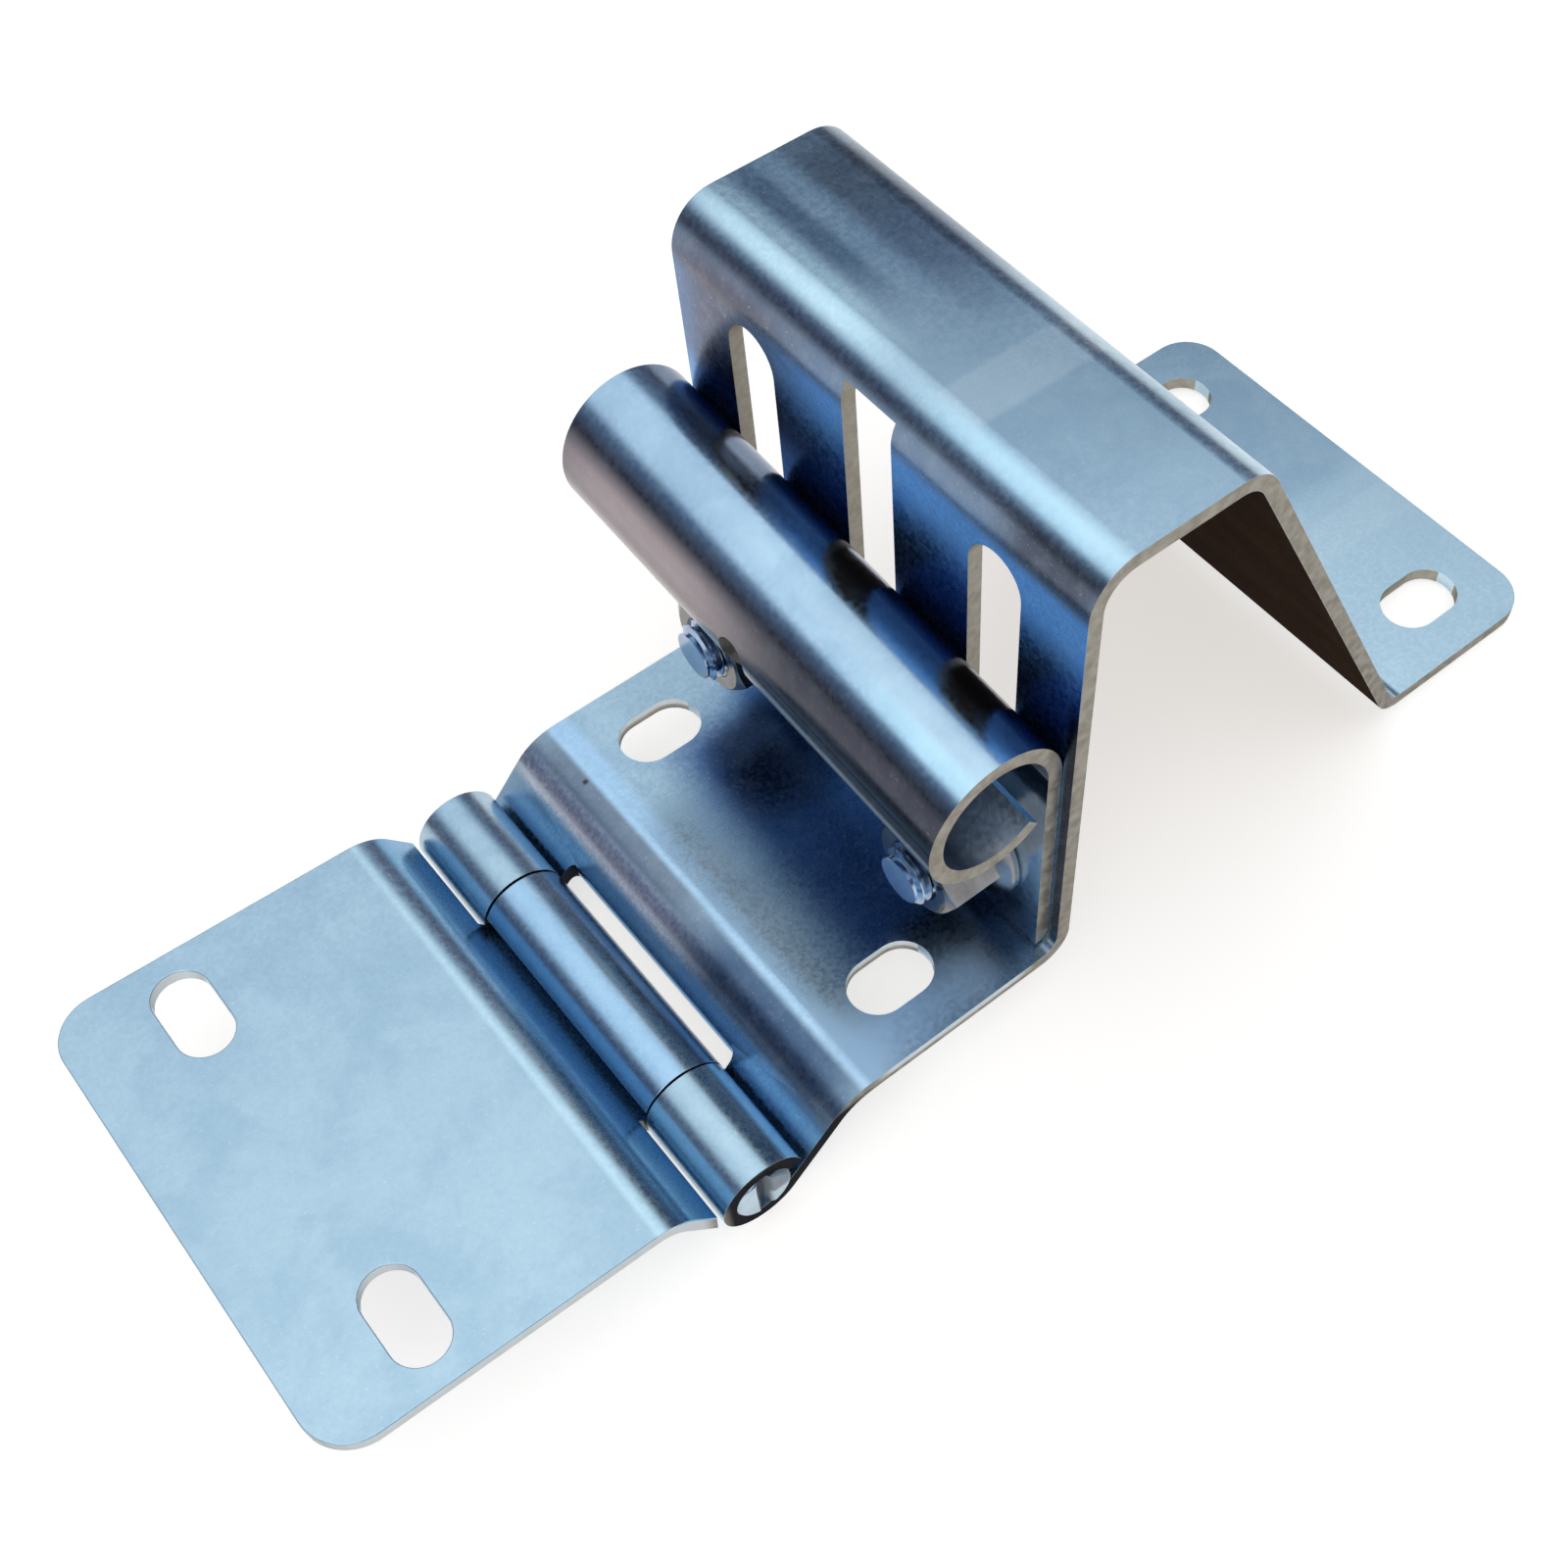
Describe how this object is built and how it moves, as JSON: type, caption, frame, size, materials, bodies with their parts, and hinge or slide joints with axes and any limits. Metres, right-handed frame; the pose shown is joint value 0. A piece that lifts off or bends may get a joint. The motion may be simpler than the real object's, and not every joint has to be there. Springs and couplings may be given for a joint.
{
  "type": "bracket hinge",
  "caption": "Side hinge with a folding leaf, a hat-shaped bracket and a height-adjustable curled holder for a roller stem.",
  "frame": {"origin": "centre of the rectangle of the four fixing slots, on the door face that the base and the foot lie on", "axes": "+Z away from the door, +X from the folding leaf towards the foot, +Y along the hinge pin"},
  "size_m": [0.1942, 0.071, 0.0829],
  "materials": {
    "leaf_zinc": "satin bluish zinc plate",
    "bracket_zinc": "satin bluish zinc plate",
    "holder_zinc": "brighter zinc plate, mottled by forming",
    "pin_zinc": "bright zinc plate",
    "fastener_zinc": "bright bluish zinc plate"
  },
  "bodies": {
    "upper": {"bracket": "bracket_zinc", "hinge_pin": "pin_zinc"},
    "leaf": {"lower_leaf": "leaf_zinc"},
    "holder": {"roller_holder": "holder_zinc", "bolt_near": "fastener_zinc", "bolt_far": "fastener_zinc", "nut_near": "fastener_zinc", "nut_far": "fastener_zinc"}
  },
  "joints": [
    {"name": "leaf_hinge", "type": "hinge", "parent": "upper", "child": "leaf", "pos_m": [-0.076, 0, -0.0059], "axis": [0, 1, 0], "range_deg": [-148, 105]},
    {"name": "holder_slide", "type": "slide", "parent": "upper", "child": "holder", "axis": [0, 0, 1], "range_m": [0, 0.036]}
  ]
}
